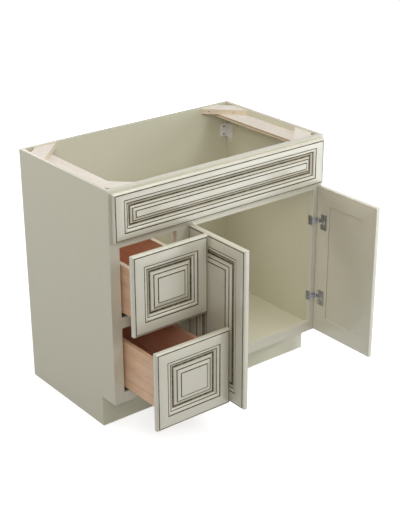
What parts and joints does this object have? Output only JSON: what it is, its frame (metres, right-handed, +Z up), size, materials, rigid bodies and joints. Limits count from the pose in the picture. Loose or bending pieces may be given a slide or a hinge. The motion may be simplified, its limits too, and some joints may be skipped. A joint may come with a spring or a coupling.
{
  "type": "vanity unit",
  "caption": "Framed bathroom vanity base cabinet with open top, a drawer bank beside a double-door cupboard, false sink front and raised-panel fronts.",
  "frame": {"origin": "on the back panel's outer face, at mid width, at floor level", "axes": "+X along the width to the object's right as seen from the front, -Y out of the fronts, +Z up"},
  "size_m": [0.9152, 0.8256, 0.8763],
  "materials": {
    "painted_front": "satin paint, glazed in the grooves",
    "painted_frame": "satin paint",
    "case_panel": "satin laminate on plywood",
    "raw_wood": "raw wood",
    "drawer_board": "clear lacquer",
    "drawer_bottom": "clear lacquer",
    "slide_steel": "zinc plated",
    "hinge_steel": "nickel plated",
    "grey_plastic": "moulded"
  },
  "bodies": {
    "cabinet": {"false_front_stiles": "painted_front", "false_front_rails": "painted_front", "false_front_panel": "painted_front", "left_stile": "painted_frame", "right_stile": "painted_frame", "mullion": "painted_frame", "top_rail": "painted_frame", "sink_rail": "painted_frame", "drawer_rail": "painted_frame", "bottom_rail": "painted_frame", "left_side_panel": "case_panel", "right_side_panel": "case_panel", "back_panel": "case_panel", "floor_panel": "case_panel", "toe_kick_board": "case_panel", "rear_left_block": "raw_wood", "rear_right_block": "raw_wood", "front_left_block": "raw_wood", "front_right_block": "raw_wood", "left_strip": "raw_wood", "right_strip": "raw_wood", "upper_case_slides": "slide_steel", "lower_case_slides": "slide_steel", "false_front_clips": "slide_steel", "left_hinge_arms": "hinge_steel", "right_hinge_arms": "hinge_steel", "corner_bracket": "grey_plastic", "upper_slide_sockets": "grey_plastic", "lower_slide_sockets": "grey_plastic"},
    "upper_middle": {"upper_middle_slides": "slide_steel"},
    "lower_middle": {"lower_middle_slides": "slide_steel"},
    "upper_drawer": {"upper_front_stiles": "painted_front", "upper_front_rails": "painted_front", "upper_front_panel": "painted_front", "upper_box_left": "drawer_board", "upper_box_right": "drawer_board", "upper_box_front": "drawer_board", "upper_box_back": "drawer_board", "upper_box_bottom": "drawer_bottom", "upper_drawer_slides": "slide_steel", "upper_clips": "grey_plastic"},
    "lower_drawer": {"lower_front_stiles": "painted_front", "lower_front_rails": "painted_front", "lower_front_panel": "painted_front", "lower_box_left": "drawer_board", "lower_box_right": "drawer_board", "lower_box_front": "drawer_board", "lower_box_back": "drawer_board", "lower_box_bottom": "drawer_bottom", "lower_drawer_slides": "slide_steel", "lower_clips": "grey_plastic"},
    "left_door": {"left_door_stiles": "painted_front", "left_door_rails": "painted_front", "left_door_panel": "painted_front", "left_door_cups": "hinge_steel"},
    "right_door": {"right_door_stiles": "painted_front", "right_door_rails": "painted_front", "right_door_panel": "painted_front", "right_door_cups": "hinge_steel"}
  },
  "joints": [
    {"name": "upper_drawer_slide", "type": "slide", "parent": "cabinet", "child": "upper_drawer", "axis": [0, -1, 0], "range_m": [-0.092, 0.327]},
    {"name": "lower_drawer_slide", "type": "slide", "parent": "cabinet", "child": "lower_drawer", "axis": [0, -1, 0], "range_m": [-0.207, 0.212]},
    {"name": "left_door_hinge", "type": "hinge", "parent": "cabinet", "child": "left_door", "pos_m": [-0.132, -0.5396, 0.4], "axis": [0, 0, 1], "range_deg": [0, 90]},
    {"name": "right_door_hinge", "type": "hinge", "parent": "cabinet", "child": "right_door", "pos_m": [0.4432, -0.5396, 0.4], "axis": [0, 0, 1], "range_deg": [-90, 5]},
    {"name": "upper_middle_slide", "type": "slide", "parent": "cabinet", "child": "upper_middle", "axis": [0, -1, 0], "range_m": [-0.046, 0.1635]},
    {"name": "lower_middle_slide", "type": "slide", "parent": "cabinet", "child": "lower_middle", "axis": [0, -1, 0], "range_m": [-0.1035, 0.106]}
  ],
  "couplings": [
    {"joint": "upper_middle_slide", "follows": "upper_drawer_slide", "ratio": 0.5},
    {"joint": "lower_middle_slide", "follows": "lower_drawer_slide", "ratio": 0.5}
  ]
}
